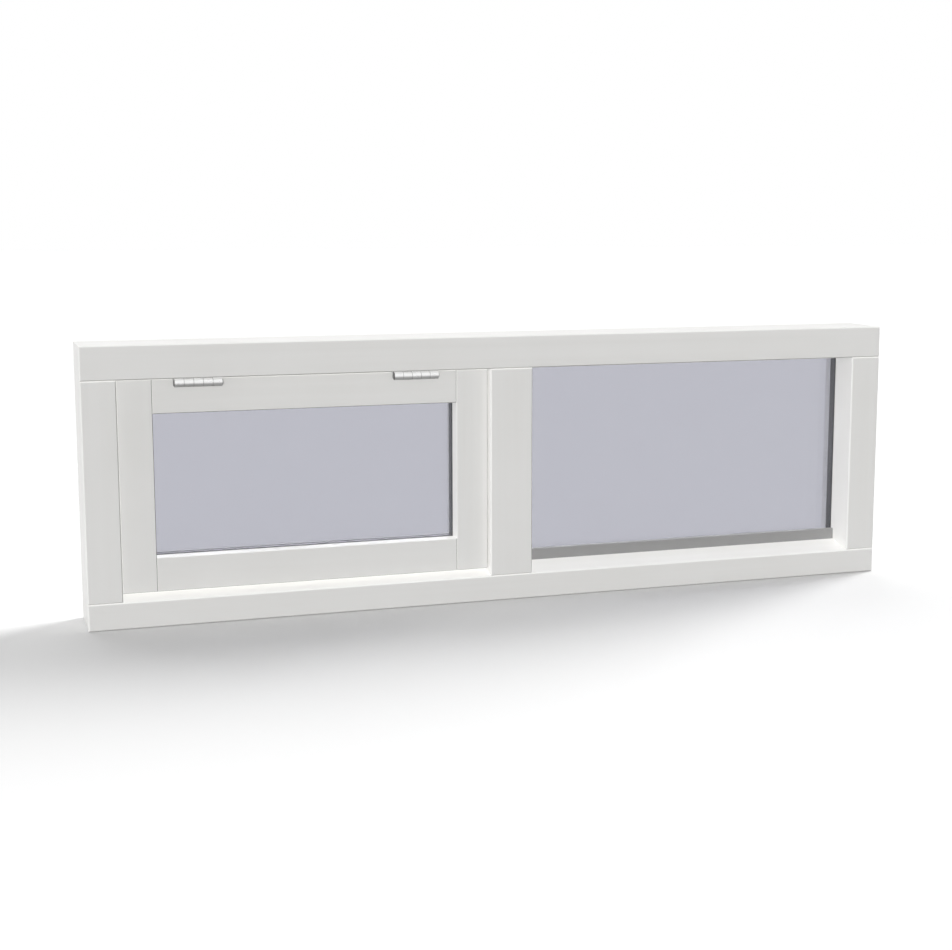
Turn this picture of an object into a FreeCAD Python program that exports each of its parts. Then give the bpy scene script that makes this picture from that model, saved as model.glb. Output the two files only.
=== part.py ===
import FreeCAD, Part
import math
import os

from FreeCAD import Vector

os.makedirs("parts", exist_ok=True)

# A painted timber window with two lights side by side. The left one is a top hung sash that swings
# outwards on two butt hinges, and the right one is fixed glass set straight into the frame.
# Lengths are millimetres. While the pieces are drawn, x is measured from the frame's left side, y is
# the depth behind the frame's outside face, and z is the height over the sill's underside.

# Frame
frame_width = 1500.0
frame_height = 480.0
frame_depth = 114.0
head_height = 58.0
jamb_width = 58.5
mullion_width = 79.0
sash_bay_width = 652.0
sill_front_height = 46.0
sill_slope_degrees = 13.5
stop_width = 17.0
sill_stop_height = 16.0
frame_arris = 1.8

# Joints of the frame's members: tenons on the uprights, let into the head and the sill
frame_tenon_thickness = 18.0
frame_tenon_length = 30.0
frame_tenon_depth = 24.0
frame_tenon_shoulder = 12.0

# Sash
sash_setback = 14.5
sash_side_gap = 1.5
sash_top_gap = 1.5
sash_sill_gap = 8.5
stile_width = 58.0
top_rail_height = 58.0
bottom_rail_height = 58.5
sash_arris = 1.0
sash_tenon_thickness = 12.0
sash_tenon_length = 38.0
sash_tenon_depth = 7.0
sash_tenon_shoulder = 14.0
drip_groove_width = 4.0
drip_groove_depth = 4.0
drip_groove_inset = 8.0
draught_groove_width = 5.0
draught_groove_depth = 2.5
draught_groove_inset = 12.0

# Glass and glazing
pane_thickness = 4.0
pane_spacing = 16.0
glazing_rebate = 13.5
pane_edge_clearance = 3.0
spacer_sight = 0.5
block_length = 80.0
block_inset = 60.0
sash_reveal = 26.0
sash_bead_depth = 15.0
fixed_reveal = 61.5
fixed_bead_depth = 20.0
fixed_foot_drop = 6.0
bead_round = 5.0
glazing_bar_thickness = 8.0
glazing_bar_height = 20.5
glazing_bar_wall = 1.8
glazing_bar_bevel = 1.0

# Weather seals in the stops, pressed by the closed sash
seal_thickness = 4.5
seal_width = 8.0
seal_base = 1.5
seal_inset = 2.0
seal_barb_width = 2.0
seal_barb_length = 5.0

# Butt hinges
hinge_length = 83.0
hinge_inset = 35.0
hinge_barrel_radius = 7.0
hinge_axis_depth = 7.25
hinge_axis_drop = 8.0
hinge_leaf_thickness = 2.5
hinge_leaf_depth = 30.0
hinge_leaf_clearance = 2.0
hinge_leaf_gap = 0.5
hinge_arm_drop = 2.5
hinge_knuckle_count = 5
hinge_knuckle_gap = 0.5
hinge_pin_radius = 3.0
hinge_pin_clearance = 0.05
hinge_tongue_bite = 3.5
hinge_pin_head_radius = 5.2
hinge_pin_head_length = 1.5
hinge_pin_head_bevel = 0.6
leaf_screw_count = 3
leaf_screw_radius = 2.2
leaf_screw_head_radius = 4.2
leaf_screw_end_distance = 12.0
leaf_screw_edge_distance = 10.0

# Lever handle on the inside of the bottom rail
handle_base_length = 62.0
handle_base_height = 17.0
handle_base_thickness = 6.0
handle_base_lift = 3.0
handle_neck_radius = 5.0
handle_neck_length = 8.0
handle_lever_length = 108.0
handle_lever_height = 12.0
handle_lever_tip_height = 9.5
handle_lever_thickness = 8.0
handle_lever_bevel = 1.2
handle_base_round = 1.5

# Ends closer to a plane than this count as lying in it
same_place = 1e-6

# Places that follow from the sizes above
sill_slope = math.tan(math.radians(sill_slope_degrees))
soffit = frame_height - head_height
unit_thickness = 2 * pane_thickness + pane_spacing
sash_thickness = sash_reveal + unit_thickness + sash_bead_depth
sash_back = sash_setback + sash_thickness
stop_depth = sash_back + seal_thickness
mullion_left = jamb_width + sash_bay_width
mullion_right = mullion_left + mullion_width
right_jamb_left = frame_width - jamb_width
sill_floor = sill_front_height + sill_slope * stop_depth
sill_stop_top = sill_floor + sill_stop_height
sash_left = jamb_width + sash_side_gap
sash_right = mullion_left - sash_side_gap
sash_middle = (sash_left + sash_right) / 2
sash_top = soffit - sash_top_gap
sash_bottom = sill_front_height + sill_slope * sash_setback + sash_sill_gap
sash_glass_left = sash_left + stile_width
sash_glass_right = sash_right - stile_width
sash_glass_bottom = sash_bottom + bottom_rail_height
sash_glass_top = sash_top - top_rail_height
sash_glass_front = sash_setback + sash_reveal
glazing_bar_foot = sill_front_height + sill_slope * (fixed_reveal - glazing_bar_thickness)
fixed_glass_bottom = glazing_bar_foot + glazing_bar_height
fixed_unit_bottom = fixed_glass_bottom - fixed_foot_drop
fixed_foot_height = fixed_unit_bottom - glazing_rebate
fixed_glass_back = fixed_reveal + unit_thickness
hinge_axis_height = soffit - hinge_axis_drop
frame_leaf_front = hinge_axis_depth + hinge_barrel_radius - hinge_leaf_clearance
hinge_leaf_back = sash_setback + hinge_leaf_depth
frame_leaf_bottom = sash_top + hinge_leaf_gap
frame_leaf_top = frame_leaf_bottom + hinge_leaf_thickness


def block(x, y, z):
    """Box between a low and a high value on each axis."""
    return Part.makeBox(x[1] - x[0], y[1] - y[0], z[1] - z[0], Vector(x[0], y[0], z[0]))


def bar_along_x(outline, x_start, x_end):
    """Straight bar with an outline of (depth, height) points, running along x."""
    points = [Vector(x_start, depth, height) for depth, height in outline]
    face = Part.Face(Part.makePolygon(points + points[:1]))
    return face.extrude(Vector(x_end - x_start, 0, 0))


def bar_along_y(outline, y_start, y_end):
    """Straight bar with an outline of (x, height) points, running back along y."""
    points = [Vector(across, y_start, height) for across, height in outline]
    face = Part.Face(Part.makePolygon(points + points[:1]))
    return face.extrude(Vector(0, y_end - y_start, 0))


def bar_along_z(outline, z_start, z_end):
    """Straight bar with an outline of (x, depth) points, running up z."""
    points = [Vector(across, depth, z_start) for across, depth in outline]
    face = Part.Face(Part.makePolygon(points + points[:1]))
    return face.extrude(Vector(0, 0, z_end - z_start))


def rod_along_x(radius, x_start, x_end, depth, height):
    """Round rod along x about a line at the given depth and height."""
    return Part.makeCylinder(radius, x_end - x_start, Vector(x_start, depth, height), Vector(1, 0, 0))


def rod_along_z(radius, z_start, z_end, across, depth):
    """Round rod up z at the given place."""
    return Part.makeCylinder(radius, z_end - z_start, Vector(across, depth, z_start))


def fuse_all(first, *others):
    """Join solids into one and drop the seams between flush faces."""
    for other in others:
        first = first.fuse(other)
    return first.removeSplitter()


def cut_all(solid, *tools):
    """Take every tool away from a solid and drop the seams that are left."""
    for tool in tools:
        solid = solid.cut(tool)
    return solid.removeSplitter()


def edges_at(solid, across=None, depth=None, height=None):
    """Edges whose two ends both lie at the coordinates that are given."""
    wanted = []
    for edge in solid.Edges:
        ends = [vertex.Point for vertex in edge.Vertexes]
        on_across = across is None or all(abs(end.x - across) < same_place for end in ends)
        on_depth = depth is None or all(abs(end.y - depth) < same_place for end in ends)
        on_height = height is None or all(abs(end.z - height) < same_place for end in ends)
        if on_across and on_depth and on_height:
            wanted.append(edge)
    return wanted


def soften_faces(solid, arris, *depths):
    """Bevel the outline of the solid's flat faces at the given depths, as sanding does."""
    for depth in depths:
        solid = solid.makeChamfer(arris, edges_at(solid, depth=depth))
    return solid


def save(name, shape):
    """Move a piece to the middle of the sill's underside and write it."""
    piece = shape.copy()
    piece.translate(Vector(-frame_width / 2, -frame_depth / 2, 0))
    if not piece.isValid():
        raise ValueError(name + " is not a valid solid")
    piece.exportStep("parts/" + name + ".step")
    print(name, len(piece.Solids), "solid", round(piece.Volume), "mm3")


def make_head():
    """Top member: a plain soffit, a stop over the sash and a rebate over the fixed glass."""
    board = block((0, frame_width), (0, frame_depth), (soffit, frame_height))
    stop = block((jamb_width, mullion_left), (stop_depth, frame_depth), (soffit - stop_width, soffit))
    rebate = block(
        (mullion_right - glazing_rebate, right_jamb_left + glazing_rebate),
        (fixed_reveal, frame_depth),
        (soffit, soffit + glazing_rebate),
    )
    return cut_all(board.fuse(stop), rebate)


def make_sill():
    """Bottom member: weathered top, an upstand behind the sash and a level bed under the fixed glass."""
    weathered = [
        (0, 0),
        (frame_depth, 0),
        (frame_depth, sill_floor),
        (stop_depth, sill_floor),
        (0, sill_front_height),
    ]
    board = bar_along_x(weathered, 0, frame_width)
    upstand = block((jamb_width, mullion_left), (stop_depth, frame_depth), (0, sill_stop_top))
    bed_across = (mullion_right - glazing_rebate, right_jamb_left + glazing_rebate)
    bed_depth = (fixed_reveal, frame_depth)
    bed = block(bed_across, bed_depth, (0, fixed_foot_height))
    above_bed = block(bed_across, bed_depth, (fixed_foot_height, soffit))
    return cut_all(fuse_all(board, upstand, bed), above_bed)


def left_jamb_outline():
    """Left upright in plan, with the stop that the closed sash meets."""
    return [
        (0, 0),
        (jamb_width, 0),
        (jamb_width, stop_depth),
        (jamb_width + stop_width, stop_depth),
        (jamb_width + stop_width, frame_depth),
        (0, frame_depth),
    ]


def right_jamb_outline():
    """Right upright in plan, rebated from the inside for the fixed glass."""
    return [
        (right_jamb_left, 0),
        (frame_width, 0),
        (frame_width, frame_depth),
        (right_jamb_left + glazing_rebate, frame_depth),
        (right_jamb_left + glazing_rebate, fixed_reveal),
        (right_jamb_left, fixed_reveal),
    ]


def mullion_outline():
    """Middle upright in plan: a stop on the sash's side and a glazing rebate on the fixed side."""
    return [
        (mullion_left, 0),
        (mullion_right, 0),
        (mullion_right, fixed_reveal),
        (mullion_right - glazing_rebate, fixed_reveal),
        (mullion_right - glazing_rebate, frame_depth),
        (mullion_left - stop_width, frame_depth),
        (mullion_left - stop_width, stop_depth),
        (mullion_left, stop_depth),
    ]


def make_upright_tenon(left, right):
    """Tenon through an upright's whole height and on into the head and the sill."""
    depth = (frame_tenon_depth, frame_tenon_depth + frame_tenon_thickness)
    height = (sill_front_height - frame_tenon_length, soffit + frame_tenon_length)
    return block((left, right), depth, height)


def seal_places():
    """Face of each weather seal as seen from outside: its x range and its z range."""
    left = jamb_width + stop_width - seal_inset
    right = mullion_left - stop_width + seal_inset
    top = soffit - stop_width + seal_inset
    bottom = sill_stop_top - seal_inset
    full = (left - seal_width, right + seal_width)
    return {
        "seal_top": (full, (top, top + seal_width)),
        "seal_bottom": (full, (bottom - seal_width, bottom)),
        "seal_left": ((left - seal_width, left), (bottom, top)),
        "seal_right": ((right, right + seal_width), (bottom, top)),
    }


def make_seal_barb(across, height):
    """Barb along the middle of a seal's back, which sits in a groove in the stop."""
    depth = (stop_depth, stop_depth + seal_barb_length)
    if across[1] - across[0] > height[1] - height[0]:
        middle = (height[0] + height[1]) / 2
        return block(across, depth, (middle - seal_barb_width / 2, middle + seal_barb_width / 2))
    middle = (across[0] + across[1]) / 2
    return block((middle - seal_barb_width / 2, middle + seal_barb_width / 2), depth, height)


def make_seal(across, height):
    """Seal strip: a flat base on the stop, a round nose against the sash and its barb."""
    base = block(across, (stop_depth - seal_base, stop_depth), height)
    nose_centre = stop_depth - seal_base
    nose_radius = seal_thickness - seal_base
    if across[1] - across[0] > height[1] - height[0]:
        nose = rod_along_x(nose_radius, *across, nose_centre, (height[0] + height[1]) / 2)
    else:
        nose = rod_along_z(nose_radius, *height, (across[0] + across[1]) / 2, nose_centre)
    front_half = nose.common(block(across, (sash_back, nose_centre), height))
    return fuse_all(base, front_half, make_seal_barb(across, height))


def save_seals():
    """Weather seals round the stops: the level ones run through and the upright ones fit between."""
    for name, (across, height) in seal_places().items():
        save(name, make_seal(across, height))


def save_frame():
    """Head and sill at full width, with the jambs and the mullion tenoned in between them."""
    head = make_head()
    sill = make_sill()
    grooves = [make_seal_barb(across, height) for across, height in seal_places().values()]
    posts = {
        "left_jamb": (left_jamb_outline(), make_upright_tenon(frame_tenon_shoulder, jamb_width)),
        "mullion": (mullion_outline(), make_upright_tenon(mullion_left, mullion_right)),
        "right_jamb": (
            right_jamb_outline(),
            make_upright_tenon(right_jamb_left, frame_width - frame_tenon_shoulder),
        ),
    }
    leaf_mortises = make_leaf_mortises((frame_leaf_front, hinge_leaf_back), (soffit, frame_leaf_top))
    mortised_head = cut_all(head, *grooves, *leaf_mortises)
    mortised_sill = cut_all(sill, *grooves)
    for name, (outline, tenon) in posts.items():
        post = cut_all(bar_along_z(outline, 0, soffit), sill, head, *grooves)
        post = soften_faces(post, frame_arris, 0, frame_depth)
        save(name, fuse_all(post, tenon.common(head), tenon.common(sill)))
        mortised_head = cut_all(mortised_head, tenon)
        mortised_sill = cut_all(mortised_sill, tenon)
    save("head", soften_faces(mortised_head, frame_arris, 0, frame_depth))
    save("sill", soften_faces(mortised_sill, frame_arris, 0, frame_depth))


def save_glass_unit(light, left, right, bottom, top, front):
    """Two panes, the sealed spacer between them and the setting blocks that carry them."""
    cover = glazing_rebate - pane_edge_clearance
    across = (left - cover, right + cover)
    height = (bottom - cover, top + cover)
    back = front + unit_thickness
    between = (front + pane_thickness, back - pane_thickness)
    opening = block(
        (left + spacer_sight, right - spacer_sight),
        between,
        (bottom + spacer_sight, top - spacer_sight),
    )
    save(light + "_outer_pane", block(across, (front, between[0]), height))
    save(light + "_inner_pane", block(across, (between[1], back), height))
    save(light + "_spacer", block(across, between, height).cut(opening))
    under = (bottom - glazing_rebate, bottom - cover)
    left_end = across[0] + block_inset
    right_end = across[1] - block_inset
    left_block = block((left_end, left_end + block_length), (front, back), under)
    right_block = block((right_end - block_length, right_end), (front, back), under)
    save(light + "_setting_blocks", Part.makeCompound([left_block, right_block]))


def save_beads(light, left, right, bottom, top, front, depth):
    """Four inside beads with a rounded inner edge, mitred at the corners."""
    back = front + depth
    far_left = left - glazing_rebate
    far_right = right + glazing_rebate
    far_bottom = bottom - glazing_rebate
    far_top = top + glazing_rebate
    bars = {
        "bottom": block((far_left, far_right), (front, back), (far_bottom, bottom)),
        "top": block((far_left, far_right), (front, back), (top, far_top)),
        "left": block((far_left, left), (front, back), (far_bottom, far_top)),
        "right": block((right, far_right), (front, back), (far_bottom, far_top)),
    }
    inner_edges = {
        "bottom": edges_at(bars["bottom"], depth=back, height=bottom),
        "top": edges_at(bars["top"], depth=back, height=top),
        "left": edges_at(bars["left"], depth=back, across=left),
        "right": edges_at(bars["right"], depth=back, across=right),
    }
    mitres = {
        "bottom": [(far_left, far_bottom), (far_right, far_bottom), (right, bottom), (left, bottom)],
        "top": [(far_left, far_top), (far_right, far_top), (right, top), (left, top)],
        "left": [(far_left, far_bottom), (far_left, far_top), (left, top), (left, bottom)],
        "right": [(far_right, far_bottom), (far_right, far_top), (right, top), (right, bottom)],
    }
    for side, bar in bars.items():
        rounded = bar.makeFillet(bead_round, inner_edges[side])
        save(light + "_bead_" + side, rounded.common(bar_along_y(mitres[side], front, back)))


def save_fixed_light():
    """Fixed glass, its beads, and the metal channel that holds its foot over the weathered sill."""
    sight = (mullion_right, right_jamb_left, fixed_unit_bottom, soffit)
    save_glass_unit("fixed", *sight, fixed_reveal)
    save_beads("fixed", *sight, fixed_glass_back, fixed_bead_depth)
    bar_front = fixed_reveal - glazing_bar_thickness
    inside = bar_front + glazing_bar_wall
    foot_rise = sill_slope * glazing_bar_thickness
    outline = [
        (bar_front, glazing_bar_foot),
        (fixed_reveal, glazing_bar_foot + foot_rise),
        (fixed_reveal, glazing_bar_foot + foot_rise + glazing_bar_wall),
        (inside, glazing_bar_foot + foot_rise + glazing_bar_wall),
        (inside, fixed_glass_bottom - glazing_bar_wall),
        (fixed_reveal, fixed_glass_bottom - glazing_bar_wall),
        (fixed_reveal, fixed_glass_bottom),
        (bar_front + glazing_bar_bevel, fixed_glass_bottom),
        (bar_front, fixed_glass_bottom - glazing_bar_bevel),
    ]
    save("sill_glazing_bar", bar_along_x(outline, mullion_right, right_jamb_left))


def hinge_middles():
    """Each hinge stands the same way in from its end of the sash's top rail."""
    half = hinge_length / 2
    return {
        "left": sash_glass_left + hinge_inset + half,
        "right": sash_glass_right - hinge_inset - half,
    }


def make_leaf_mortises(depth, height):
    """Shallow housings that a member needs for its two hinge leaves."""
    housings = []
    for middle in hinge_middles().values():
        along = (middle - hinge_length / 2, middle + hinge_length / 2)
        housings.append(block(along, depth, height))
    return housings


def make_sash_grooves():
    """Drip groove under the sash, and the draught groove round its sides and top."""
    drip_front = sash_setback + drip_groove_inset
    drip_top = sash_bottom + sill_slope * drip_groove_inset + drip_groove_depth
    drip = block(
        (sash_left, sash_right),
        (drip_front, drip_front + drip_groove_width),
        (sash_bottom, drip_top),
    )
    draught_back = sash_back - draught_groove_inset
    depth = (draught_back - draught_groove_width, draught_back)
    height = (sash_bottom, sash_top)
    left = block((sash_left, sash_left + draught_groove_depth), depth, height)
    right = block((sash_right - draught_groove_depth, sash_right), depth, height)
    top = block((sash_left, sash_right), depth, (sash_top - draught_groove_depth, sash_top))
    return [drip, left, right, top]


def make_sash_tenon(height):
    """Tenon through a rail's whole length and on into both stiles."""
    across = (sash_glass_left - sash_tenon_length, sash_glass_right + sash_tenon_length)
    front = sash_setback + sash_tenon_depth
    return block(across, (front, front + sash_tenon_thickness), height)


def top_rail_outline():
    """Top rail in section, rebated from the inside for the glass."""
    return [
        (sash_setback, sash_glass_top),
        (sash_glass_front, sash_glass_top),
        (sash_glass_front, sash_glass_top + glazing_rebate),
        (sash_back, sash_glass_top + glazing_rebate),
        (sash_back, sash_top),
        (sash_setback, sash_top),
    ]


def bottom_rail_outline():
    """Bottom rail in section, with its underside parallel to the weathered sill."""
    return [
        (sash_setback, sash_bottom),
        (sash_back, sash_bottom + sill_slope * sash_thickness),
        (sash_back, sash_glass_bottom - glazing_rebate),
        (sash_glass_front, sash_glass_bottom - glazing_rebate),
        (sash_glass_front, sash_glass_bottom),
        (sash_setback, sash_glass_bottom),
    ]


def make_stile(outer, inner):
    """Full height upright of the sash, rebated for the glass, with its foot cut to the sill's slope."""
    height = (sash_bottom, sash_top)
    upright = block((min(outer, inner), max(outer, inner)), (sash_setback, sash_back), height)
    below = [
        (sash_setback, sash_bottom),
        (sash_back, sash_bottom),
        (sash_back, sash_bottom + sill_slope * sash_thickness),
    ]
    rebate = block(
        (sash_glass_left - glazing_rebate, sash_glass_right + glazing_rebate),
        (sash_glass_front, sash_back),
        (sash_glass_bottom - glazing_rebate, sash_glass_top + glazing_rebate),
    )
    return cut_all(upright, bar_along_x(below, sash_left, sash_right), rebate)


def save_sash():
    """Sash frame with full height stiles, its glass and its inside beads."""
    grooves = make_sash_grooves()
    across = (sash_glass_left, sash_glass_right)
    mortises = make_leaf_mortises((0, hinge_leaf_back), (sash_top - hinge_leaf_thickness, sash_top))
    top_tenon = make_sash_tenon((sash_glass_top, sash_top - sash_tenon_shoulder))
    bottom_tenon = make_sash_tenon((sash_bottom + sash_tenon_shoulder, sash_glass_bottom))
    top_rail = soften_faces(bar_along_x(top_rail_outline(), *across), sash_arris, sash_setback, sash_back)
    bottom_rail = soften_faces(
        bar_along_x(bottom_rail_outline(), *across), sash_arris, sash_setback, sash_back
    )
    stiles = {
        "sash_left_stile": make_stile(sash_left, sash_glass_left),
        "sash_right_stile": make_stile(sash_right, sash_glass_right),
    }
    for name, stile in stiles.items():
        softened = soften_faces(stile, sash_arris, sash_setback, sash_back)
        save(name, cut_all(softened, top_tenon, bottom_tenon, *grooves))
        top_rail = fuse_all(top_rail, top_tenon.common(stile))
        bottom_rail = fuse_all(bottom_rail, bottom_tenon.common(stile))
    save("sash_top_rail", cut_all(top_rail, *mortises, *grooves))
    save("sash_bottom_rail", cut_all(bottom_rail, *grooves))
    sight = (*across, sash_glass_bottom, sash_glass_top)
    save_glass_unit("sash", *sight, sash_glass_front)
    save_beads("sash", *sight, sash_glass_front + unit_thickness, sash_bead_depth)


def make_leaf_screw_holes(middle, wide_height, narrow_height):
    """Countersunk holes through a hinge leaf, from the face at wide_height to narrow_height."""
    depth = hinge_leaf_back - leaf_screw_edge_distance
    first = middle - hinge_length / 2 + leaf_screw_end_distance
    step = (hinge_length - 2 * leaf_screw_end_distance) / (leaf_screw_count - 1)
    inward = math.copysign(1, narrow_height - wide_height)
    sink_depth = leaf_screw_head_radius - leaf_screw_radius
    holes = []
    for number in range(leaf_screw_count):
        place = Vector(first + number * step, depth, wide_height)
        direction = Vector(0, 0, inward)
        sink = Part.makeCone(leaf_screw_head_radius, leaf_screw_radius, sink_depth, place, direction)
        bore = Part.makeCylinder(leaf_screw_radius, hinge_leaf_thickness, place, direction)
        holes.append(sink.fuse(bore))
    return holes


def make_hinge_leaves(middle):
    """Frame leaf let into the head and sash leaf let into the rail, with their knuckles in turn."""
    across = (middle - hinge_length / 2, middle + hinge_length / 2)
    start = across[0] + hinge_pin_head_length
    end = across[1] - hinge_pin_head_length
    pitch = (end - start + hinge_knuckle_gap) / hinge_knuckle_count
    arm_back = sash_setback - hinge_leaf_gap
    tongue_front = hinge_axis_depth + hinge_barrel_radius - hinge_tongue_bite
    frame_leaf_height = (frame_leaf_bottom, frame_leaf_top)
    arm_height = (soffit - hinge_arm_drop, soffit)
    sash_leaf_height = (sash_top - hinge_leaf_thickness, sash_top)
    frame_leaf = block(across, (frame_leaf_front, hinge_leaf_back), frame_leaf_height)
    sash_leaf = block(across, (sash_setback, hinge_leaf_back), sash_leaf_height)
    for number in range(hinge_knuckle_count):
        knuckle_start = start + number * pitch
        along = (knuckle_start, knuckle_start + pitch - hinge_knuckle_gap)
        knuckle = rod_along_x(hinge_barrel_radius, *along, hinge_axis_depth, hinge_axis_height)
        if number % 2 == 0:
            arm = block(along, (hinge_axis_depth, arm_back), arm_height)
            frame_leaf = fuse_all(frame_leaf, arm, knuckle)
        else:
            tongue = block(along, (tongue_front, sash_setback), sash_leaf_height)
            sash_leaf = fuse_all(sash_leaf, tongue, knuckle)
    bore_radius = hinge_pin_radius + hinge_pin_clearance
    bore = rod_along_x(bore_radius, *across, hinge_axis_depth, hinge_axis_height)
    frame_holes = make_leaf_screw_holes(middle, *frame_leaf_height)
    sash_holes = make_leaf_screw_holes(middle, *reversed(sash_leaf_height))
    return cut_all(frame_leaf, bore, *frame_holes), cut_all(sash_leaf, bore, *sash_holes)


def make_hinge_pin(middle):
    """Pin through all the knuckles, with a bevelled head at each end."""
    start = middle - hinge_length / 2
    end = middle + hinge_length / 2
    axis = (hinge_axis_depth, hinge_axis_height)
    shank = rod_along_x(hinge_pin_radius, start, end, *axis)
    left_head = rod_along_x(hinge_pin_head_radius, start, start + hinge_pin_head_length, *axis)
    right_head = rod_along_x(hinge_pin_head_radius, end - hinge_pin_head_length, end, *axis)
    pin = fuse_all(shank, left_head, right_head)
    rims = edges_at(pin, across=start) + edges_at(pin, across=end)
    return pin.makeChamfer(hinge_pin_head_bevel, rims)


def save_hinges():
    """Two five knuckle butt hinges, each with its pin."""
    for side, middle in hinge_middles().items():
        frame_leaf, sash_leaf = make_hinge_leaves(middle)
        save("hinge_" + side + "_frame_leaf", frame_leaf)
        save("hinge_" + side + "_sash_leaf", sash_leaf)
        save("hinge_" + side + "_pin", make_hinge_pin(middle))


def make_lever_arm(front, height):
    """Flat arm that narrows from the hub to a round tip, with its back edge softened."""
    back = front + handle_lever_thickness
    hub_radius = handle_lever_height / 2
    tip_radius = handle_lever_tip_height / 2
    reach = handle_lever_length - hub_radius - tip_radius
    lean = math.asin((hub_radius - tip_radius) / reach)
    hub_x = sash_middle + hub_radius * math.sin(lean)
    tip_x = sash_middle + reach + tip_radius * math.sin(lean)
    outline = [
        (hub_x, height - hub_radius * math.cos(lean)),
        (tip_x, height - tip_radius * math.cos(lean)),
        (tip_x, height + tip_radius * math.cos(lean)),
        (hub_x, height + hub_radius * math.cos(lean)),
    ]
    along_y = Vector(0, 1, 0)
    hub_place = Vector(sash_middle, front, height)
    tip_place = Vector(sash_middle + reach, front, height)
    hub = Part.makeCylinder(hub_radius, handle_lever_thickness, hub_place, along_y)
    tip = Part.makeCylinder(tip_radius, handle_lever_thickness, tip_place, along_y)
    arm = fuse_all(bar_along_y(outline, front, back), hub, tip)
    return arm.makeChamfer(handle_lever_bevel, edges_at(arm, depth=back))


def save_handle():
    """Lever handle on the inside of the sash's bottom rail, lying level as when it is locked."""
    low = sill_stop_top + handle_base_lift
    middle_height = low + handle_base_height / 2
    base_back = sash_back + handle_base_thickness
    base = block(
        (sash_middle - handle_base_length / 2, sash_middle + handle_base_length / 2),
        (sash_back, base_back),
        (low, low + handle_base_height),
    )
    neck_place = Vector(sash_middle, base_back, middle_height)
    neck = Part.makeCylinder(handle_neck_radius, handle_neck_length, neck_place, Vector(0, 1, 0))
    arm = make_lever_arm(base_back + handle_neck_length, middle_height)
    save("handle_base", base.makeFillet(handle_base_round, edges_at(base, depth=base_back)))
    save("handle_lever", fuse_all(neck, arm))


save_frame()
save_seals()
save_fixed_light()
save_sash()
save_hinges()
save_handle()
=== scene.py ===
"""Looks of a wide low window: a top hung awning sash beside a fixed light.

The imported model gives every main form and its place. This script gives each of its pieces
a procedural finish, adds the small hardware that the solids leave out, and sets up a plain
studio with the camera at the photograph's viewing angle. Lengths are metres.
"""

import logging
import math
from dataclasses import dataclass
from enum import Enum
from typing import Iterable, Mapping, Sequence, Union

import bpy
from mathutils import Euler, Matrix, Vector


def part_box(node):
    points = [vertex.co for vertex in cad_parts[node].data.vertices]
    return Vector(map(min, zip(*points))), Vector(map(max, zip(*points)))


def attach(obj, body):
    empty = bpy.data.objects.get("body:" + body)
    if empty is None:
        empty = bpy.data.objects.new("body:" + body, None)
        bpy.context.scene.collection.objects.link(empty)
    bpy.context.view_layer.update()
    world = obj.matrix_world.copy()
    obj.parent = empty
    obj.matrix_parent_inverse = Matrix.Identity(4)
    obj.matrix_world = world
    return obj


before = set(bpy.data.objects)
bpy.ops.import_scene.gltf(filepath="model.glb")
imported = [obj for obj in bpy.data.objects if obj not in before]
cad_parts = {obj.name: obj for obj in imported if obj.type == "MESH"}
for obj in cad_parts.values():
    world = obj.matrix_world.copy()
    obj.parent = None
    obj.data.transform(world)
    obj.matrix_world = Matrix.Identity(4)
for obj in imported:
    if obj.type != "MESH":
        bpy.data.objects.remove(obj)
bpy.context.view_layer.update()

log = logging.getLogger("window")

Colour = tuple[float, float, float]
Socket = bpy.types.NodeSocket
Value = Union[Socket, float, int, bool, Sequence[float], bpy.types.Material]
Edge = tuple[Vector, Vector]


class Grain(Enum):
    """Way the timber runs in a piece, as the stretch of its pattern on each axis."""

    LEVEL = (0.02, 1.0, 1.0)
    UPRIGHT = (1.0, 1.0, 0.02)

    def paint(self, slot: str) -> str:
        """Return the name of a slot's paint over this grain."""
        return f"{slot} {self.name.lower()}"


class Facing(Enum):
    """Way a screw or pin head looks, as the turn that brings it there from facing up."""

    UP = (0.0, 0.0, 0.0)
    DOWN = (math.pi, 0.0, 0.0)
    INDOORS = (-math.pi / 2, 0.0, 0.0)


def grey(level: float) -> tuple[float, float, float, float]:
    """Return the plain grey of a level, with 1 for white."""
    return level, level, level, 1.0


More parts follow.
